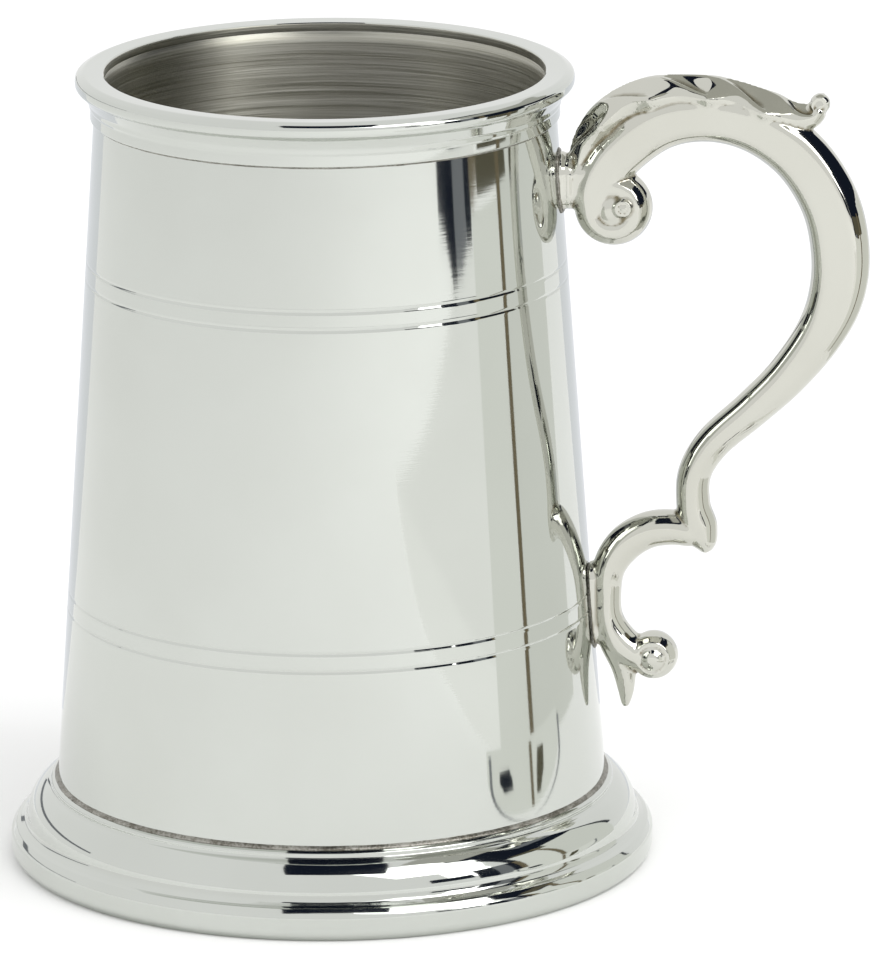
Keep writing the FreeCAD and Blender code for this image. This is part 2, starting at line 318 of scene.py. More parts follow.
# %% [markdown]
# A half-section is drawn as a turner would note it: corners, each with the rounding that the
# tool leaves there. Long straight runs get extra points, so the waves have something to move.


# %% Half-sections with rounded corners
LONGEST_BACK = 0.48  # a rounding never takes more than this share of a side


def drawn(corners, run=2.0 * MM, closed=True, fine=7):
    """Points along an outline of (radius, height, rounding) corners."""
    spots = [Vector((c[0], c[1])) for c in corners]
    line = []
    for i, corner in enumerate(corners):
        here = spots[i]
        before = spots[i - 1] - here
        after = spots[(i + 1) % len(spots)] - here
        rounding = corner[2] if len(corner) > 2 else 0.0
        if rounding <= 0 or (not closed and i in (0, len(corners) - 1)):
            line.append(here)
            continue
        bend = before.angle(after)
        back = min(rounding / math.tan(bend / 2), before.length * LONGEST_BACK,
                   after.length * LONGEST_BACK)
        start = here + before.normalized() * back
        end = here + after.normalized() * back
        for k in range(fine + 1):
            t = k / fine
            line.append(start * (1 - t) ** 2 + here * (2 * t * (1 - t)) + end * t ** 2)
    full = []
    last = len(line) if closed else len(line) - 1
    for i in range(last):
        a, b = line[i], line[(i + 1) % len(line)]
        pieces = max(1, math.ceil((b - a).length / run))
        full += [a.lerp(b, k / pieces) for k in range(pieces)]
    if not closed:
        full.append(line[-1])
    return full


def outline_mesh(points):
    """A half-section as loose points, which is what the lathe takes."""
    mesh = bpy.data.meshes.new("outline")
    mesh.from_pydata([(p.x, 0.0, p.y) for p in points], [], [])
    return mesh


def volume_of(mesh):
    """Signed volume: positive when every face looks outwards."""
    mesh.calc_loop_triangles()
    count = len(mesh.loop_triangles)
    corners = np.empty(count * 3, dtype=np.int32)
    mesh.loop_triangles.foreach_get("vertices", corners)
    spots = np.empty(len(mesh.vertices) * 3)
    mesh.vertices.foreach_get("co", spots)
    tri = spots.reshape(-1, 3)[corners.reshape(-1, 3)]
    return float(np.einsum("ij,ij->i", tri[:, 0], np.cross(tri[:, 1], tri[:, 2])).sum() / 6)


def turned(points, finish, closed=True, around=256, wave=0.0, size=0.03, seed=1.0):
    """A turned piece's mesh, facing outwards."""
    mesh = LATHE.run(outline_mesh(points), steps_round=around, closed_section=int(closed),
                     wave_depth=wave, wave_size=size, seed=seed, finish=finish)
    if volume_of(mesh) < 0:
        mesh.flip_normals()
    return mesh


print("half-sections ready")

# %% [markdown]
# ## Finishes
# Pewter is a tin alloy, warmer and softer than silver. Polishing leaves hair-fine marks, and a
# dull, faintly brown film stays in the hollows where no mop reaches. Each finish is a metal whose
# roughness, tint and fine relief follow noise in the object's own space. The polished ones also
# read a stored value that says how hollow the surface is at each point.


# %% Finishes
class Finish(Maker):
    """A material's nodes, with the same way of writing rules."""

    def __init__(self, name):
        self.material = bpy.data.materials.new(name)
        self.material.use_nodes = True
        self.tree = self.material.node_tree
        self.tree.nodes.clear()
        self.space = self.out("ShaderNodeTexCoord", result=3)
        self.metal = self.node("ShaderNodeBsdfPrincipled")
        self.metal.inputs["Metallic"].default_value = 1.0
        end = self.node("ShaderNodeOutputMaterial")
        self.tree.links.new(self.metal.outputs[0], end.inputs[0])

    def noise(self, stretch_by, scale, detail=3.0):
        """Noise in the object's space, stretched along each axis."""
        feeds = {0: self.space, 1: stretch_by}
        place = self.out("ShaderNodeVectorMath", feeds, operation="MULTIPLY")
        return self.out("ShaderNodeTexNoise", {"Vector": place, "Scale": scale, "Detail": detail})

    def ranged(self, value, low, high, start=0.0, end=1.0):
        """A value that ran from start to end, made to run from low to high."""
        feeds = {0: value, 1: start, 2: end, 3: low, 4: high}
        return self.out("ShaderNodeMapRange", feeds)

    def mixed(self, share, first, second):
        node = self.node("ShaderNodeMix", data_type="RGBA")
        feed(self.tree, node.inputs[0], share)
        feed(self.tree, node.inputs[6], first)
        feed(self.tree, node.inputs[7], second)
        return Field(self.tree, node.outputs[2])

    def relief(self, height, strength, distance):
        """Fine marks, too small to be in the mesh."""
        feeds = {"Height": height, "Strength": strength, "Distance": distance}
        return self.out("ShaderNodeBump", feeds)

    def wear(self, colour, roughness, normal):
        """Gives the metal its tint, its gloss and its marks."""
        feed(self.tree, self.metal.inputs["Base Color"], colour)
        feed(self.tree, self.metal.inputs["Roughness"], roughness)
        feed(self.tree, self.metal.inputs["Normal"], normal)
        return self.material


BRIGHT = (0.600, 0.620, 0.585, 1.0)
CLOUDED = (0.555, 0.572, 0.535, 1.0)
CAST_BRIGHT = (0.600, 0.600, 0.545, 1.0)
CAST_CLOUDED = (0.540, 0.535, 0.475, 1.0)
PATINA = (0.20, 0.175, 0.115, 1.0)
# the inside's two tones, mixed by its rings and by streaks of painted reflection
SATIN_LIGHT = (0.68, 0.675, 0.61, 1.0)
SATIN_DARK = (0.30, 0.29, 0.23, 1.0)
GRAIN_DARK = (0.15, 0.14, 0.115, 1.0)
GRAIN_LIGHT = (0.42, 0.41, 0.375, 1.0)
EVEN = (1.0, 1.0, 1.0)
print("tints ready")

# %% [markdown]
# The turned pieces carry lines that run round them, so their noise is squeezed along the axis.
# The casting was polished by hand in all directions. Inside the cup the abrasive was held still
# while the cup turned, so its marks are rings: that noise is squeezed along the wall, and an
# anisotropic gloss spreads the light across the rings, as a brushed metal does. Wide upright
# streaks of lighter and darker colour are painted in as well: a painted reflection of the room.
# Numbers that are the same all over a piece are set on the shader's own sockets.


# %% Polished, satin and solder
def polished(name, marks, mark_scale, bright, clouded):
    """Mirror pewter. marks says which way the polishing lines run."""
    f = Finish(name)
    hollow = f.out("ShaderNodeAttribute", result=2, attribute_name="hollow")
    cloud = f.noise(EVEN, 45.0)
    lines = f.noise(marks, mark_scale, 2.0)
    grime = f.noise(EVEN, 900.0)
    film = (hollow * f.ranged(grime, 0.75, 1.25)).call("MINIMUM", 1.0)
    clean = f.mixed(f.ranged(cloud, 0.0, 0.55, 0.35, 0.75), bright, clouded)
    colour = f.mixed(film, clean, PATINA)
    shine = f.ranged(cloud, 0.02, 0.055, 0.3, 0.7) + f.ranged(lines, 0.0, 0.025) + film * 0.3
    normal = f.relief(lines, 0.06, 0.00002)
    return f.wear(colour, shine, normal)


def satin(name):
    """Brushed pewter inside the cup: fine abrasive rings, and painted reflection streaks."""
    squeeze = 90.0
    f = Finish(name)
    x, y, z = f.split(f.space)
    along_wall = z + (x * x + y * y).call("SQRT")
    ringed = f.join(x, y, along_wall * squeeze)
    rings = f.out("ShaderNodeTexNoise", {"Vector": ringed, "Scale": 42.0, "Detail": 4.0})
    # painted reflection: wide upright streaks of colour stand in for the room mirrored inside the
    # cup
    painted_streaks = f.noise((1.0, 1.0, 0.15), 36.0, 1.0)
    # the rings are real marks; the rest of this mix is painted reflection
    rings_and_painted_streaks = f.ranged(rings * 0.65 + painted_streaks * 0.35, 0.0, 1.0, 0.30, 0.70)
    colour = f.mixed(rings_and_painted_streaks, SATIN_DARK, SATIN_LIGHT)
    normal = f.relief(rings, 0.45, 0.00008)
    f.metal.inputs["Anisotropic"].default_value = 0.85
    f.metal.inputs["Anisotropic Rotation"].default_value = 0.25
    return f.wear(colour, f.ranged(rings, 0.34, 0.48, 0.3, 0.7), normal)


def solder(name):
    """Soft solder: dull, grainy and pitted, with grey film in its pits."""
    f = Finish(name)
    grain = f.noise(EVEN, 2600.0, 4.0)
    blotch = f.noise(EVEN, 350.0)
    pitted = f.ranged(grain * 0.5 + blotch * 0.5, 0.0, 1.0, 0.4, 0.6)
    colour = f.mixed(pitted, GRAIN_DARK, GRAIN_LIGHT)
    normal = f.relief(grain, 0.6, 0.00015)
    return f.wear(colour, f.ranged(blotch, 0.3, 0.6, 0.35, 0.65), normal)


POLISHED_ROUND = polished("polished pewter, turned", (1.0, 1.0, 60.0), 55.0, BRIGHT, CLOUDED)
POLISHED_CAST = polished("polished pewter, cast", EVEN, 1500.0, CAST_BRIGHT, CAST_CLOUDED)
SATIN = satin("satin pewter")
SOLDER = solder("soft solder")
print("finishes", [m.name for m in bpy.data.materials])

# %% [markdown]
# ## How hollow is the metal here?
# A polishing mop rides over the high places and misses the low ones. Each point is compared
# with its neighbours: where they stand above it, the surface is hollow, and a film stays there.


# %% How hollow is the metal here
def neighbours(mesh):
    """Edges as two arrays, points, normals and how many neighbours each point has."""
    pairs = np.empty(len(mesh.edges) * 2, dtype=np.int64)
    mesh.edges.foreach_get("vertices", pairs)
    a, b = pairs.reshape(-1, 2).T
    spots = np.empty(len(mesh.vertices) * 3)
    mesh.vertices.foreach_get("co", spots)
    count = np.bincount(np.concatenate([a, b]), minlength=len(mesh.vertices))
    return a, b, spots.reshape(-1, 3), np.maximum(count, 1)


def averaged(values, a, b, count):
    """Each point's mean of a value over its neighbours."""
    total = np.bincount(a, weights=values[b], minlength=len(count))
    total += np.bincount(b, weights=values[a], minlength=len(count))
    return total / count


def mark_hollows(mesh, gain, softness=2, start=0.02):
    """Stores how hollow the surface is, from 0 on flats and ridges to 1 in a crevice."""
    a, b, spots, count = neighbours(mesh)
    facing = np.empty(len(mesh.vertices) * 3)
    mesh.vertex_normals.foreach_get("vector", facing)
    facing = facing.reshape(-1, 3)
    middle = np.stack([averaged(spots[:, k], a, b, count) for k in range(3)], axis=1)
    length = np.linalg.norm(spots[a] - spots[b], axis=1)
    reach = np.bincount(a, weights=length, minlength=len(count)) / count
    reach += np.bincount(b, weights=length, minlength=len(count)) / count
    hollow = np.einsum("ij,ij->i", middle - spots, facing) / np.maximum(reach, 1e-9)
    for _ in range(softness):
        hollow = 0.5 * hollow + 0.5 * averaged(hollow, a, b, count)
    hollow = np.clip((hollow - start) * gain, 0.0, 1.0)
    layer = mesh.attributes.new("hollow", "FLOAT", "POINT")
    layer.data.foreach_set("value", hollow.astype(np.float32))
    return hollow


print("hollows can be marked")

# %% [markdown]
# ## Putting a piece in its place
# Every visible piece stands for one measured piece. It is told which body it rides on and which
# node it takes the place of, and that node is hidden. Its size is already in its mesh, so the
# object stays at the origin.


# %% Putting a piece in its place
def piece(name, mesh, node):
    """Puts a finished mesh in the scene as the visible form of a measured piece."""
    thing = bpy.data.objects.new(name, mesh)
    mesh.name = name
    scene.collection.objects.link(thing)
    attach(thing, "root")
    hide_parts(node)
    triangles = sum(len(face.vertices) - 2 for face in mesh.polygons)
    print(f"{name}: {triangles} triangles, {volume_of(mesh) * 1e6:.2f} cm3")
    return thing


print("pieces can be placed")

# %% [markdown]
# ## Barrel
# The barrel is sheet metal rolled and seamed, then turned. Two pairs of fine lines are scored
# round it. The outside is mopped to a mirror and the inside is left satin, so one body carries
# two finishes, chosen by which wall a face belongs to. Beside each scored line the section has
# an extra point, so that smooth shading stays at the line and the wall between stays flat.

# %% Barrel
LINE_DROPS = (29.8, 32.6, 83.0, 85.8)
LINE_DEPTH = 0.09 * MM
LINE_HALF = 0.24 * MM
LINE_LIP = 0.008 * MM
LINE_FLAT = 2.3 * LINE_HALF


def scored(height):
    """The dip and the two raised lips of one scored line, going up the wall."""
    return [
        (outside(height - LINE_FLAT), height - LINE_FLAT),
        (outside(height - 2 * LINE_HALF), height - 2 * LINE_HALF),
        (outside(height) + LINE_LIP, height - LINE_HALF),
        (outside(height) - LINE_DEPTH, height - LINE_HALF * 0.25),
        (outside(height) - LINE_DEPTH, height + LINE_HALF * 0.25),
        (outside(height) + LINE_LIP, height + LINE_HALF),
        (outside(height + 2 * LINE_HALF), height + 2 * LINE_HALF),
        (outside(height + LINE_FLAT), height + LINE_FLAT),
    ]


def satin_within(mesh, limit):
    """Gives the satin finish to every face nearer the axis than the limit at its height."""
    mesh.materials.append(SATIN)
    for face in mesh.polygons:
        if math.hypot(face.center.x, face.center.y) < limit(face.center.z):
            face.material_index = 1


def barrel_section():
    """Up the outer wall with its scored lines, and down the inner one."""
    low, high = barrel_low.z, barrel_high.z
    corners = [(outside(low), low, 0.3 * MM)]
    for drop in sorted(LINE_DROPS, reverse=True):
        corners += scored(brim - drop * MM)
    corners += [(outside(high), high), (inside(high), high)]
    corners += [(inside(low), low, 0.3 * MM)]
    return drawn(corners)


barrel_mesh = turned(barrel_section(), POLISHED_ROUND, wave=0.035 * MM, size=0.045, seed=3.0)
satin_within(barrel_mesh, lambda height: outside(height) - WALL * 0.45)
mark_hollows(barrel_mesh, 1.5)
piece("barrel_wall", barrel_mesh, "barrel")

# %% [markdown]
# ## Mouth band
# A moulded ring caps the sheet's raw edge. It rolls inwards over the rim, swells to a lip, falls
# away under it to a neck, and ends in a flat collar. It is drawn as one section with the
# roundings that a turner's scraper gives.

# %% Mouth band
LIP = band_high.x
bore = inside(barrel_high.z)
collar = outside(band_low.z) + 0.55 * MM
band_corners = [
    (outside(band_low.z), band_low.z),
    (collar, band_low.z, 0.25 * MM),
    (collar - 0.1 * MM, brim - 5.6 * MM, 0.3 * MM),
    (collar + 0.12 * MM, brim - 5.2 * MM, 0.3 * MM),
    (collar + 0.18 * MM, brim - 4.5 * MM, 1.1 * MM),
    (LIP - 0.9 * MM, brim - 2.75 * MM, 0.9 * MM),
    (LIP, brim - 2.1 * MM, 0.8 * MM),
    (LIP, brim - 0.55 * MM, 0.9 * MM),
    (LIP - 1.3 * MM, brim, 1.4 * MM),
    (bore + 0.25 * MM, brim - 0.12 * MM, 0.2 * MM),
    (bore, brim - 0.3 * MM, 0.15 * MM),
    (bore, barrel_high.z),
    (outside(barrel_high.z), barrel_high.z),
]
band_mesh = turned(drawn(band_corners), POLISHED_ROUND, wave=0.02 * MM, size=0.03, seed=5.0)
satin_within(band_mesh, lambda height: bore + 0.1 * MM)
mark_hollows(band_mesh, 1.2)
piece("mouth_band_ring", band_mesh, "mouth_band")

# %% [markdown]
# ## Foot
# The foot is cast and turned: a small bead at the seam, a domed shoulder, a hollow step, and a
# fat rounded band that meets the table. Underneath it is hollow to save metal. It has twice as
# many steps round as the barrel, because its bright edges show every facet. Its hand waves must
# not push it through the table, so no point goes below zero.

# %% Foot
FOOT = foot_high.x
seam = foot_high.z


def shoulder(middle, height, radius, start, end):
    """Corners along an arc, from one angle above the level to another, in degrees."""
    steps = 14
    angles = [math.radians(start + (end - start) * k / steps) for k in range(steps + 1)]
    return [(middle + radius * math.cos(a), height + radius * math.sin(a)) for a in angles]


foot_corners = [
    (outside(seam), seam),
    (outside(seam) + 0.45 * MM, seam, 0.2 * MM),
    (outside(seam) + 1.25 * MM, seam - 0.35 * MM, 0.4 * MM),
    (outside(seam) + 1.15 * MM, seam - 0.95 * MM, 0.25 * MM),
    *shoulder(FOOT - 8.1 * MM, 6.4 * MM, 5.5 * MM, 70.0, 0.0),
    (FOOT - 2.2 * MM, 5.75 * MM, 0.5 * MM),
    (FOOT - 1.5 * MM, 5.35 * MM, 0.5 * MM),
    (FOOT - 0.8 * MM, 5.1 * MM, 0.3 * MM),
    (FOOT, 4.1 * MM, 1.5 * MM),
    (FOOT, 1.2 * MM, 1.6 * MM),
    (FOOT - 1.0 * MM, 0.0, 0.5 * MM),
    (FOOT - 3.2 * MM, 0.0, 0.4 * MM),
    (FOOT - 3.3 * MM, 2.5 * MM, 0.8 * MM),
    (FOOT - 4.9 * MM, seam - 7.6 * MM, 0.8 * MM),
    (outside(seam - 6.8 * MM), seam - 6.8 * MM),
]
foot_mesh = turned(drawn(foot_corners), POLISHED_ROUND, around=512, wave=0.025 * MM,
                   size=0.03, seed=7.0)
for point in foot_mesh.vertices:
    point.co.z = max(point.co.z, 0.0)
mark_hollows(foot_mesh, 1.2)
piece("foot_turning", foot_mesh, "foot_ring")

# %% [markdown]
# ## Floor
# The floor is a flat disc pressed into the barrel, with a shallow dish and a faint centre mark
# from the lathe. Its section is open at the axis, where the tree closes it to a point.

# %% Floor
floor_edge = inside(floor_low.z)
floor_top = inside(floor_high.z)
floor_points = drawn([
    (0.0, floor_low.z),
    (floor_edge, floor_low.z),
    (floor_top, floor_high.z),
    (floor_top - 1.2 * MM, floor_high.z - 0.02 * MM, 0.5 * MM),
    (floor_top - 6.0 * MM, floor_high.z - 0.3 * MM, 2.0 * MM),
    (1.2 * MM, floor_high.z - 0.3 * MM, 0.4 * MM),
    (0.0, floor_high.z - 0.42 * MM),
], run=1.2 * MM, closed=False)
floor_mesh = turned(floor_points, SATIN, closed=False, around=192, wave=0.02 * MM, seed=9.0)
piece("cup_floor", floor_mesh, "floor")

# %% [markdown]
# ## Solder seams
# Solder drawn into a joint freezes as a thin, uneven bead. Three of them run round the barrel,
# so the lathe makes them too, with short deep waves instead of long shallow ones.


# %% Solder seams
def seam_ring(name, node, corners, seed):
    """A bead of solder round the barrel, from its half-section."""
    mesh = turned(drawn(corners, run=0.2 * MM, fine=4), SOLDER, around=512, wave=0.09 * MM,
                  size=0.0016, seed=seed)
    piece(name, mesh, node)


foot_join = seam - 0.02 * MM
seam_ring("foot_seam", "foot_solder", [
    (outside(foot_join) - 0.05 * MM, foot_join),
    (outside(foot_join) + 0.62 * MM, foot_join, 0.15 * MM),
    (outside(seam) + 0.38 * MM, seam + 0.30 * MM, 0.2 * MM),
    (outside(seam + 0.6 * MM) - 0.05 * MM, seam + 0.6 * MM),
], 11.0)
under = band_low.z
seam_ring("band_seam", "band_solder", [
    (outside(under - 0.35 * MM) - 0.05 * MM, under - 0.35 * MM),
    (outside(under) + 0.18 * MM, under - 0.18 * MM, 0.1 * MM),
    (outside(under) + 0.38 * MM, under),
    (outside(under) - 0.05 * MM, under),
], 13.0)
below = floor_low.z
seam_ring("floor_seam", "floor_solder", [
    (inside(below) + 0.05 * MM, below),
    (inside(below) - 1.2 * MM, below),
    (inside(below) - 0.45 * MM, below - 0.45 * MM, 0.4 * MM),
    (inside(below - 1.2 * MM) + 0.05 * MM, below - 1.2 * MM),
], 15.0)

# %% [markdown]
# ## Handle: straps that follow a line
# The handle is one casting made of straps: bars with flat cheeks and bowed backs that follow a
# scroll. Curve to Mesh would sweep one fixed shape, but here depth and breadth change along the
# way and the leaf is cut with furrows, so a tree places a grid of points by rule instead.


# %% Straps that follow a line
def strap_tree():
    """A closed strap round a line in the XZ plane, flat on both cheeks and bowed on both backs.

    Lobes is how many furrows the upper back has. Scallop is how far its margin swells between
    them, Furrow how deep they are, and Sweep how far they lean along the line."""
    m = Maker("Cast along a line", steps_along="Int", steps_round="Int", bow_share="Float",
              lobes="Float", scallop="Float", furrow="Float", sweep="Float", finish="Material")
    along = m.given("steps_along")
    around = m.given("steps_round")
    # A grid with a row for each station, and one more at each end that closes to a point.
    line = m.out("GeometryNodeMeshToCurve", {0: m.given()})
    line = m.out("GeometryNodeCurveSplineType", {"Curve": line}, spline_type="CATMULL_ROM")
    line = m.out("GeometryNodeResampleCurve", {"Curve": line, "Count": along})
    grid = m.out("GeometryNodeMeshGrid", {"Vertices X": along + 2.0, "Vertices Y": around + 1.0})
    index = m.out("GeometryNodeInputIndex")
    row = (index / (around + 1.0) + NUDGE).call("FLOOR")
    column = (index - row * (around + 1.0)).call("MODULO", around)
    station = (row - 1.0).call("MAXIMUM", 0.0).call("MINIMUM", along - 1.0)
    closing = row.call("GREATER_THAN", 0.5) * row.call("LESS_THAN", along + 0.5)
    share = station / (along - 1.0)

    place = m.picked(line, m.out("GeometryNodeInputPosition"), station)
    heading = m.picked(line, m.out("GeometryNodeInputTangent"), station)
    ahead_x, _, ahead_z = m.split(heading)

    def stored(name):
        value = m.out("GeometryNodeInputNamedAttribute", {"Name": name}, data_type="FLOAT")
        return m.picked(line, value, station, "FLOAT")

    depth = stored("depth")
    knob = -((share * m.given("lobes") * math.pi).call("SINE").call("ABSOLUTE")) + 0.5
    breadth = stored("breadth") * (knob * m.given("scallop") + 1.0)

    # Once round the strap: upper back, cheek, lower back, cheek.
    quarter = column * 4.0 / around
    lower = quarter.call("GREATER_THAN", 1.99999)
    side = -(lower * 2.0) + 1.0
    inner = quarter - lower * 2.0
    bow_part = inner.call("MINIMUM", 1.0)
    cheek_part = (inner - 1.0).call("MAXIMUM", 0.0)
    half = breadth / 2.0
    rise = (breadth * m.given("bow_share")).call("MINIMUM", depth * 0.499)
    radius = (half * half + rise * rise) / (rise * 2.0)
    opening = (half / radius).call("MINIMUM", 1.0).call("ARCSINE")
    turn_by = opening * (-(bow_part * 2.0) + 1.0)
    out = depth / 2.0 - radius + radius * turn_by.call("COSINE")
    out = (out - (depth - rise * 2.0) * cheek_part) * side
    wide = radius * turn_by.call("SINE") * side

    # Furrows in the upper back, deepest halfway between its middle and its margin.
    lean = (wide / half).call("ABSOLUTE")
    beat = (share * m.given("lobes") - lean * m.given("sweep") + 8.0).call("FRACT")
    lens = -((beat * 2.0 - 1.0).call("POWER", 2.0)) + 1.0
    flank = lean * (-lean + 1.0) * 4.0
    upper = (-lower + 1.0) * inner.call("LESS_THAN", 1.00001)
    cut = lens * lens * flank.call("POWER", 1.5) * upper * m.given("furrow")
    out = (out - cut) * closing
    wide = wide * closing

    base_x, _, base_z = m.split(place)
    spot = m.join(base_x - ahead_z * out, wide, base_z + ahead_x * out)
    body = m.out("GeometryNodeSetPosition", {"Geometry": grid, "Position": spot})
    body = m.out("GeometryNodeMergeByDistance", {"Geometry": body, "Distance": 2 * SAME_SPOT})
    m.finish(body, m.given("finish"))
    return m


STRAP = strap_tree()
print("strap nodes", len(STRAP.tree.nodes))

# %% [markdown]
# The scroll's stations are noted the way a pattern maker would: how far each stands off the
# barrel's wall, how high it is above the middle of the lower lug, and how deep and broad the
# strap is there.


# %% Stations of the handle
def spot(stand_off, rise):
    """A place in the handle's plane, from a stand-off and a rise in millimetres."""
    height = lug_low + stretch * rise * MM
    return Vector((outside(height) + stand_off * MM, 0.0, height))


def strap(places, depths, breadths, along=120, around=64, bow=0.31, lobes=0.0, scallop=0.0,
          furrow=0.0, lean=0.0):
    """A strap's mesh, from places in metres, and depths and breadths in millimetres."""
    line = bpy.data.meshes.new("line")
    line.from_pydata(places, [(i, i + 1) for i in range(len(places) - 1)], [])
    for name, values in (("depth", depths), ("breadth", breadths)):
        layer = line.attributes.new(name, "FLOAT", "POINT")
        layer.data.foreach_set("value", [v * MM for v in values])
    return STRAP.run(line, steps_along=along, steps_round=around, bow_share=bow, lobes=lobes,
                     scallop=scallop, furrow=furrow * MM, sweep=lean, finish=POLISHED_CAST)


def scroll(stations, **rule):
    """A strap through (stand-off, rise, depth, breadth) stations."""
    places = [spot(s[0], s[1]) for s in stations]
    return strap(places, [s[2] for s in stations], [s[3] for s in stations], **rule)


print("stations can be placed")

# %% Stations of the scroll and its leaf
BOW = [
    (4.6, 63.5, 6.0, 7.0), (5.7, 67.6, 7.8, 7.0), (9.4, 72.8, 8.4, 7.0),
    (16.3, 77.7, 8.5, 7.0), (23.9, 79.0, 8.4, 7.0), (31.3, 77.3, 8.6, 7.0),
    (37.7, 72.6, 9.0, 7.0), (41.8, 65.3, 9.2, 7.0), (42.9, 57.4, 9.2, 7.0),
    (41.8, 50.5, 8.7, 7.0), (38.7, 44.2, 7.6, 6.9), (33.3, 37.5, 6.6, 6.7),
    (27.5, 32.1, 6.0, 6.6), (21.1, 26.6, 5.6, 6.5), (17.8, 21.6, 5.3, 6.4),
    (17.2, 16.5, 5.4, 6.4), (17.9, 12.8, 5.8, 6.3), (18.6, 10.4, 4.2, 5.6),
    (18.8, 8.9, 1.8, 3.6),
]
LOWER_SCROLL = [
    (19.2, 10.8, 2.6, 4.4), (17.0, 12.0, 5.0, 6.2), (13.6, 12.6, 5.6, 6.4),
    (9.6, 12.0, 5.8, 6.4), (5.8, 9.6, 5.8, 6.4), (3.2, 5.8, 5.2, 6.4),
    (2.5, 1.1, 4.6, 6.4), (2.6, -2.7, 4.8, 6.4), (4.3, -6.3, 5.6, 6.4),
    (7.3, -8.6, 5.2, 6.2),
]
LEAF_POINT = [
    (2.4, -3.0, 4.4, 5.4), (3.0, -6.0, 4.6, 5.0), (4.3, -10.0, 4.0, 4.4),
    (4.5, -13.6, 2.8, 3.2), (4.3, -16.0, 1.6, 2.0), (4.2, -16.9, 0.7, 0.9),
]
ACANTHUS = [
    (2.4, 69.6, 3.0, 5.6), (4.6, 74.6, 4.6, 7.0), (8.2, 78.8, 5.4, 7.6),
    (13.3, 81.6, 5.8, 7.8), (20.0, 82.5, 6.0, 7.8), (27.0, 82.0, 5.8, 7.6),
    (33.0, 80.1, 5.8, 7.4), (37.0, 78.9, 5.0, 6.6), (39.6, 79.2, 4.2, 5.2),
    (41.2, 80.4, 3.0, 3.8),
]
casting = [
    scroll(BOW, along=420),
    scroll(LOWER_SCROLL, along=200),
    scroll(LEAF_POINT, along=80, bow=0.42),
    scroll(ACANTHUS, along=420, around=128, bow=0.42, lobes=5.0, scallop=0.34, furrow=1.5,
           lean=0.62),
]
print("straps", [len(mesh.polygons) for mesh in casting])

# %% [markdown]
# ## Handle: rolls, ball, curl and lugs
# A scroll ends in a roll with a raised eye. Each is turned like the foot, then laid on its side.
# The lugs are short stems that swell from the barrel's wall into the scroll, the upper one with
# a pair of fine rings.


# %% Rolls, ball, curl and lugs
def laid(points, centre):
    """A turned piece of the casting, laid across the handle."""
    mesh = turned(points, POLISHED_CAST, closed=False, around=96)
    lie = Matrix.Translation(centre) @ Matrix.Rotation(math.radians(90.0), 4, "X")
    mesh.transform(lie)
    return mesh


def roll(centre, face, reach, breadth, eye, boss):
    """A roll with flat cheeks, a bowed edge, and a domed eye in a groove on each cheek.

    Its sizes are in millimetres."""
    half = breadth / 2
    cheek = [
        (0.0, half + boss),
        (eye * 0.55, half + boss * 0.86, eye * 0.3),
        (eye, half - 0.15, 0.25),
        (eye + 0.55, half - 0.3, 0.3),
        (eye + 1.0, half + 0.05, 0.3),
        (face, half, 0.35),
        (face + (reach - face) * 0.75, half * 0.55, 1.2),
    ]
    mirrored = [(r, -h, *more) for r, h, *more in reversed(cheek)]
    corners = cheek + [(reach, 0.0, 1.6)] + mirrored
    scaled = [tuple(value * MM for value in corner) for corner in corners]
    return laid(drawn(scaled, run=0.3 * MM, closed=False), centre)


def stem(height, sections):
    """A lug: (distance from the wall, depth, breadth) sections along X."""
    wall = outside(height)
    places = [Vector((wall + s[0] * MM, 0.0, height)) for s in sections]
    return strap(places, [s[1] for s in sections], [s[2] for s in sections], along=90, bow=0.40)


UPPER_LUG = [
    (-0.6, 9.4, 7.0), (0.5, 9.3, 6.9), (0.9, 8.4, 6.2), (1.2, 8.9, 6.6), (1.6, 8.9, 6.6),
    (1.9, 8.2, 6.0), (2.6, 8.3, 6.0), (4.0, 9.4, 6.4), (5.6, 11.0, 6.6), (7.4, 10.0, 5.0),
]
LOWER_LUG = [
    (-0.6, 13.6, 5.6), (0.4, 13.5, 5.4), (1.2, 13.0, 4.8), (2.2, 13.0, 5.4), (3.4, 11.0, 5.4),
]
LUG_DROP = 0.4 * MM
casting += [
    roll(spot(8.0, 64.2), 4.3, 6.2, 7.0, 1.9, 0.3),
    roll(spot(9.8, 64.7), 0.9, 3.0, 8.4, 0.6, 0.15),
    roll(spot(9.3, -8.2), 2.5, 3.9, 6.4, 1.7, 0.7),
    roll(spot(41.3, 81.1), 0.9, 1.65, 3.4, 0.6, 0.2),
    stem(lug_high - LUG_DROP, UPPER_LUG),
    stem(lug_low, LOWER_LUG),
]
print("casting has", len(casting), "forms")

# %% [markdown]
# ## Handle: one casting
# Separate forms that only overlap would look like glued toys. Molten metal makes one skin with
# a soft hollow wherever two forms meet. A voxel remesh gives exactly that: it wraps all the forms
# in one closed skin, and a few rounds of smoothing take off its grain.


# %% One casting
def one_skin(meshes, grain, rounds):
    """All the meshes wrapped in one closed skin."""
    forms = [bpy.data.objects.new("form", mesh) for mesh in meshes]
    for form in forms:
        scene.collection.objects.link(form)
    everything = forms[0]
    with bpy.context.temp_override(active_object=everything, selected_editable_objects=forms):
        bpy.ops.object.join()
    wrap = everything.modifiers.new("wrap", "REMESH")
    wrap.mode = "VOXEL"
    wrap.voxel_size = grain
    wrap.use_smooth_shade = True
    soften = everything.modifiers.new("soften", "SMOOTH")
    soften.factor = 0.5
    soften.iterations = rounds
    seen = everything.evaluated_get(bpy.context.evaluated_depsgraph_get())
    mesh = bpy.data.meshes.new_from_object(seen)
    everything.modifiers.clear()
    bpy.data.objects.remove(everything)
    return mesh


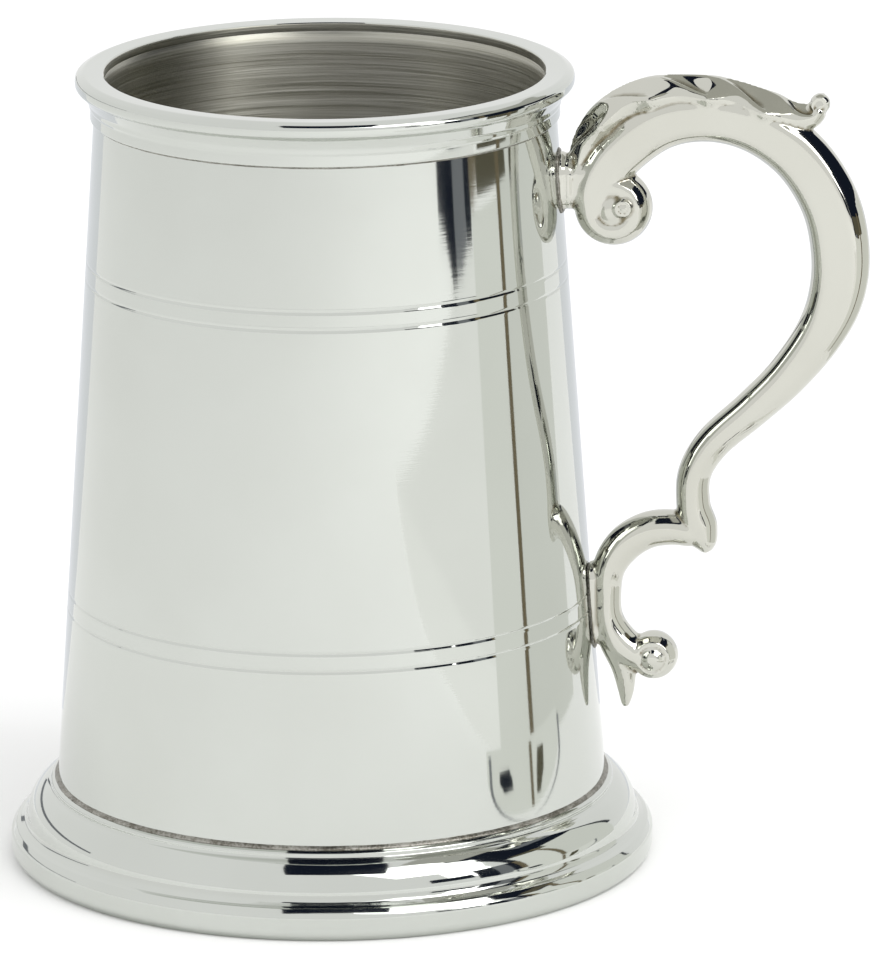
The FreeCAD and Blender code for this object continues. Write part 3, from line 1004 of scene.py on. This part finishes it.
def saddle(mesh, gap):
    """Cuts the lugs' ends to the barrel's curve, leaving the solder its room."""
    spots = np.empty(len(mesh.vertices) * 3)
    mesh.vertices.foreach_get("co", spots)
    spots = spots.reshape(-1, 3)
    reach = np.hypot(spots[:, 0], spots[:, 1])
    wall = outside(spots[:, 2]) + gap
    fix = np.where(reach < wall, wall / reach, 1.0)
    spots[:, :2] *= fix[:, None]
    mesh.vertices.foreach_set("co", spots.ravel())
    mesh.update()
    return int((fix > 1.0).sum())


handle_mesh = one_skin(casting, grain=0.27 * MM, rounds=6)
fitted = saddle(handle_mesh, PAD)
one_finish(handle_mesh, POLISHED_CAST)
hollows = mark_hollows(handle_mesh, 20.0, softness=4, start=0.03)
print("points cut to the barrel", fitted, "mean hollow", round(float(hollows.mean()), 3))
piece("handle_casting", handle_mesh, "handle")

# %% [markdown]
# ## Solder behind the lugs
# Each lug sits on a thin pad of solder that squeezes out a little all round. A pad is a rounded
# patch wrapped on the barrel's wall, thickest at its rim, where the solder piled up.


# %% Solder behind the lugs
def solder_pad(name, node, height, depth, breadth):
    """A patch wrapped on the wall, as a grid in rings from its middle to its rim and back."""
    rings = [(0.0, PAD), (0.5, PAD), (0.92, PAD), (1.0, PAD + 0.05 * MM), (1.04, PAD * 0.8),
             (1.06, 0.1 * MM), (1.06, -0.02 * MM), (0.5, -0.02 * MM), (0.0, -0.02 * MM)]
    count, lobes, wobble_by, squareness = 120, 7, 0.025, 0.75
    points, faces = [], []
    for share, proud in rings:
        for k in range(count):
            angle = TAU * k / count
            wobble = 1.0 + wobble_by * math.sin(lobes * angle + height * 900) * share
            across, over = math.cos(angle), math.sin(angle)
            side = math.copysign(abs(across) ** squareness, across) * breadth / 2
            up = math.copysign(abs(over) ** squareness, over) * depth / 2
            z = height + up * share * wobble
            bearing = side * share * wobble / outside(z)
            reach = outside(z) + proud
            points.append((reach * math.cos(bearing), reach * math.sin(bearing), z))
    for ring in range(len(rings) - 1):
        for k in range(count):
            a, b = ring * count + k, ring * count + (k + 1) % count
            faces.append((a, b, b + count, a + count))
    mesh = bpy.data.meshes.new(name)
    mesh.from_pydata(points, [], faces)
    closer = Maker(f"{name} closed", finish="Material")
    feeds = {"Geometry": closer.given(), "Distance": SAME_SPOT}
    closer.finish(closer.out("GeometryNodeMergeByDistance", feeds), closer.given("finish"))
    mesh = closer.run(mesh, finish=SOLDER)
    if volume_of(mesh) < 0:
        mesh.flip_normals()
    piece(name, mesh, node)


solder_pad("upper_lug_pad", "upper_lug_solder", lug_high - LUG_DROP, 9.5 * MM, 7.0 * MM)
solder_pad("lower_lug_pad", "lower_lug_solder", lug_low - 0.5 * MM, 12.9 * MM, 4.6 * MM)

# %% [markdown]
# ## Studio
# Polished metal shows the room, not itself, so the room is the finish. A pale floor and a white
# sky give the even light grey, and one soft lamp lifts the floor to the right.


# %% Studio
def plain(name, colour, roughness=0.9):
    material = bpy.data.materials.new(name)
    material.use_nodes = True
    metal = material.node_tree.nodes["Principled BSDF"]
    metal.inputs["Base Color"].default_value = colour
    metal.inputs["Roughness"].default_value = roughness
    return material


def glowing(name, colour, strength=1.0):
    """A card's finish, which looks the same however it is lit."""
    material = bpy.data.materials.new(name)
    material.use_nodes = True
    nodes = material.node_tree.nodes
    nodes.clear()
    glow = nodes.new("ShaderNodeEmission")
    glow.inputs["Color"].default_value = (*colour, 1.0)
    glow.inputs["Strength"].default_value = strength
    end = nodes.new("ShaderNodeOutputMaterial")
    material.node_tree.links.new(glow.outputs[0], end.inputs[0])
    return material


def sheet(name, corners, material, shown=False):
    """A flat card or the floor."""
    mesh = bpy.data.meshes.new(name)
    mesh.from_pydata(corners, [], [tuple(range(len(corners)))])
    mesh.materials.append(material)
    thing = bpy.data.objects.new(name, mesh)
    scene.collection.objects.link(thing)
    thing.visible_camera = shown
    thing.visible_shadow = shown
    thing.visible_diffuse = shown
    return thing


def heading(bearing):
    """An angle about Z from a bearing: degrees to the right of the camera's side."""
    return math.radians(bearing) + HANDLE_TURN - math.pi / 2


def soft_box(name, bearing, distance, height, side, power):
    """A square soft light that points down at the floor beside the tankard."""
    lamp = bpy.data.objects.new(name, bpy.data.lights.new(name, "AREA"))
    lamp.data.size = side
    lamp.data.energy = power
    angle = heading(bearing)
    lamp.location = (distance * math.cos(angle), distance * math.sin(angle), height)
    aim_at = Vector((lamp.location.x * 0.5, lamp.location.y * 0.5, 0.0))
    lamp.rotation_euler = (aim_at - lamp.location).to_track_quat("-Z", "Y").to_euler()
    scene.collection.objects.link(lamp)


world = bpy.data.worlds.new("sky")
scene.world = world
world.use_nodes = True
sky = world.node_tree.nodes["Background"]
sky.inputs["Color"].default_value = (1.0, 1.0, 1.0, 1.0)
sky.inputs["Strength"].default_value = 1.0
scene.view_settings.view_transform = "Standard"

HALF = 3.0
sheet("studio_floor", [(-HALF, -HALF, 0), (HALF, -HALF, 0), (HALF, HALF, 0), (-HALF, HALF, 0)],
      plain("pale floor", (0.95, 0.95, 0.945, 1.0)), shown=True)
soft_box("key", 45.0, 0.95, 1.2, 1.0, 7.5)
print("sky, floor and lamp ready")

# %% [markdown]
# ## Cards
# The dark and bright bands tell the eye that the wall is round and bright. Each is the
# reflection of one card, which the camera doesn't see and which casts no shadow. A card glows
# with a colour of its own, so its band is as dark or as bright as its material says. An upright
# card makes a band up the wall, and a level one above the rim lies across the lip, the foot and
# the leaf. A card can be slanted, because the wall's own curve bends what it mirrors.


# %% Cards
def card(name, bearing, distance, width, low, high, material):
    """An upright card. bearing is measured to the right from the camera's side, in degrees."""
    angle = heading(bearing)
    centre = Vector((math.cos(angle), math.sin(angle), 0.0)) * distance
    along = Vector((-math.sin(angle), math.cos(angle), 0.0)) * width / 2
    up = Vector((0.0, 0.0, 1.0))
    corners = [centre - along + up * low, centre + along + up * low,
               centre + along + up * high, centre - along + up * high]
    return sheet(name, corners, material)


def slice_card(name, levels, material, distance):
    """A tall card with slanted sides. Each level is its height and the bearings of its edges."""
    ring = [(start, height) for height, start, end in levels]
    ring += [(end, height) for height, start, end in reversed(levels)]
    corners = [(distance * math.cos(heading(bearing)), distance * math.sin(heading(bearing)),
                height) for bearing, height in ring]
    return sheet(name, corners, material)


def roof(name, height, corners, material):
    """A level card. Its corners are to the right of, and behind, the tankard's axis."""
    spots = []
    for right, behind in corners:
        level = Matrix.Rotation(HANDLE_TURN, 3, "Z") @ Vector((right, behind, 0.0))
        spots.append((level.x, level.y, height))
    return sheet(name, spots, material)


NAVY = glowing("dark card", (0.010, 0.014, 0.026))
BROWN = glowing("brown card", (0.20, 0.165, 0.105))
SMOKE = glowing("smoke card", (0.22, 0.23, 0.25))
GREY = glowing("grey card", (0.88, 0.89, 0.85))
MIDDLE = glowing("middle card", (0.52, 0.52, 0.48))
GLOW = glowing("bright card", (1.0, 1.0, 1.0), 4.5)
UMBER = glowing("umber card", (0.125, 0.115, 0.080))
BACK = glowing("back card", (0.86, 0.88, 0.92))
# painted shade on the floor, as the barrel mirrors it
SHADE = glowing("shade card", (1.0, 1.0, 0.985), 1.13)
HALF_SHADE = glowing("half shade card", (1.0, 1.0, 0.985), 1.19)
LIGHT = glowing("light card", (0.97, 0.98, 0.94))
print("cards can be set up")

# %% [markdown]
# The right side of the barrel has a dark wedge that tapers downwards, made of four slices of
# different darkness. Beside it stands a pale upright strip with a thin brown line in it. The
# dark card above the strip also gives the bow its dark curve.

# %% Wedge and strip
WEDGE_AT = 0.60
STRIP_AT = 0.15
slice_card("wedge_a", [(0.30, 54.0, 62.4), (0.0455, 54.0, 62.4), (0.040, 57.2, 62.4),
                       (0.033, 59.2, 62.8), (0.027, 60.8, 63.0)], NAVY, WEDGE_AT)
slice_card("wedge_b", [(0.30, 62.4, 68.8), (0.040, 62.4, 68.8), (0.033, 62.8, 69.6),
                       (0.028, 63.0, 65.5)], SMOKE, WEDGE_AT)
slice_card("wedge_c", [(0.30, 68.8, 72.0), (0.040, 68.8, 72.4), (0.0325, 69.6, 72.0)],
           NAVY, WEDGE_AT)
slice_card("wedge_d", [(0.30, 72.0, 77.8), (0.043, 72.0, 77.8), (0.040, 72.4, 73.6)],
           BROWN, WEDGE_AT)
card("strip_light", 73.8, STRIP_AT, 0.040, 0.0, 0.095, LIGHT)
card("strip_top", 79.0, STRIP_AT, 0.048, 0.097, 0.108, UMBER)
card("bow_shade", 80.0, STRIP_AT, 0.062, 0.108, 0.20, NAVY)
card("strip_line", 82.6, STRIP_AT, 0.006, 0.0, 0.110, BROWN)
card("strip_far", 99.0, STRIP_AT, 0.080, 0.0, 0.115, GREY)
print("wedge and strip up")

# %% [markdown]
# The strip ends low on the wall in a round-bottomed shape with a grey rim and three small marks.
# These cards stand close, and the base stands behind its rim and its marks.

# %% Foot of the strip, and two dark bands
RIM_AT, BASE_AT = 0.0997, 0.106
BOWL_AT = 74.0
BOWL_HALF = 18.5
BOWL_TOP, BOWL_SIDE, BOWL_DEEP = 0.0135, 0.0088, 0.0085
BOWL_LEVELS, BOWL_STEP = 12, 8.6


def bowl(side=0, thick=1.0):
    """Levels of a round-bottomed card, or of the rim down one side of it."""
    levels = []
    for k in range(BOWL_LEVELS):
        bend = math.radians(max(0.0, k - 1.0) * BOWL_STEP)
        height = BOWL_TOP if k == 0 else BOWL_SIDE - BOWL_DEEP * math.sin(bend)
        reach = BOWL_HALF * math.cos(bend)
        first = BOWL_AT - reach if side <= 0 else BOWL_AT + reach - thick
        last = BOWL_AT + reach if side >= 0 else BOWL_AT - reach + thick
        levels.append((height, first, last))
    return levels


slice_card("strip_base", bowl(), LIGHT, BASE_AT)
slice_card("strip_rim_a", bowl(side=1), SMOKE, RIM_AT)
slice_card("strip_rim_b", bowl(side=-1), SMOKE, RIM_AT)
card("left_dark", -132.0, 0.90, 1.10, 0.13, 0.18, SMOKE)
card("line_dark", 44.0, WEDGE_AT, 0.18, 0.10, 0.20, NAVY)
slice_card("strip_knob", [(0.0102, 59.8, 64.0), (0.0085, 59.6, 65.2), (0.0066, 61.5, 65.6)],
           NAVY, RIM_AT)
slice_card("strip_bar", [(0.0108, 78.5, 82.0), (0.0070, 77.5, 81.5), (0.0035, 77.0, 79.0)],
           UMBER, RIM_AT)
slice_card("strip_seam", [(0.0125, 74.2, 75.6), (0.0020, 74.0, 75.4)], BROWN, RIM_AT)
print("foot of the strip up")

# %% [markdown]
# Level cards overhead darken the foot's bands and the top of the leaf. Those just above the floor
# tint what the barrel mirrors of it: a cool patch behind, and a soft arc of painted shade on the
# floor right of the middle, full at its far edge and half as strong near the foot.

# %% Level cards, and the two far ones
ROOF_AT, BACK_LEVEL, FLOOR_LEVEL, LEAF_LEVEL = 0.9, 0.003, 0.0025, 0.165
roof("roof_front", ROOF_AT, [(-0.26, -0.60), (0.29, -0.60), (0.12, 0.23), (-0.10, 0.23)], NAVY)
roof("roof_right_a", ROOF_AT, [(0.45, -0.20), (0.62, -0.12), (0.62, 0.50), (0.45, 0.50)], NAVY)
roof("roof_right_b", ROOF_AT, [(0.62, -0.12), (0.74, -0.05), (0.74, 0.60), (0.62, 0.60)], SMOKE)
roof("roof_right_c", ROOF_AT, [(0.74, -0.05), (0.84, 0.05), (0.84, 0.60), (0.74, 0.60)], NAVY)
roof("back_level", BACK_LEVEL, [(-0.06, 0.07), (0.06, 0.07), (0.75, 0.95), (-0.80, 0.95)], BACK)


def level_patch(name, spots, material):
    """A patch just above the floor. Its corners are given as bearings and distances."""
    ring = [(heading(bearing), reach) for bearing, reach in spots]
    corners = [(r * math.cos(a), r * math.sin(a), FLOOR_LEVEL) for a, r in ring]
    return sheet(name, corners, material)


FAR_EDGE = [(75.0, 0.92), (66.0, 0.87), (62.0, 0.82), (57.5, 0.74), (53.0, 0.68), (48.0, 0.635),
            (42.0, 0.595), (36.0, 0.565), (29.0, 0.545)]
MIDDLE_EDGE = [(38.0, 0.46), (50.0, 0.37), (62.0, 0.28), (75.0, 0.22)]
NEAR_EDGE = [(75.0, 0.14), (62.0, 0.17), (50.0, 0.24), (38.0, 0.34)]
# painted shade: these patches glow less than the lit floor, so the barrel mirrors an arc of
# darker floor
level_patch("floor_shade", FAR_EDGE + MIDDLE_EDGE, SHADE)
level_patch("floor_half_shade", FAR_EDGE[-1:] + MIDDLE_EDGE + NEAR_EDGE, HALF_SHADE)
roof("leaf_shade", LEAF_LEVEL, [(0.050, -0.06), (0.105, -0.06), (0.105, 0.04), (0.050, 0.04)],
     MIDDLE)
card("side_dark", 101.0, 0.90, 1.00, 0.22, 1.60, NAVY)
card("side_glow", 54.0, 1.10, 0.40, 0.26, 1.25, GLOW)
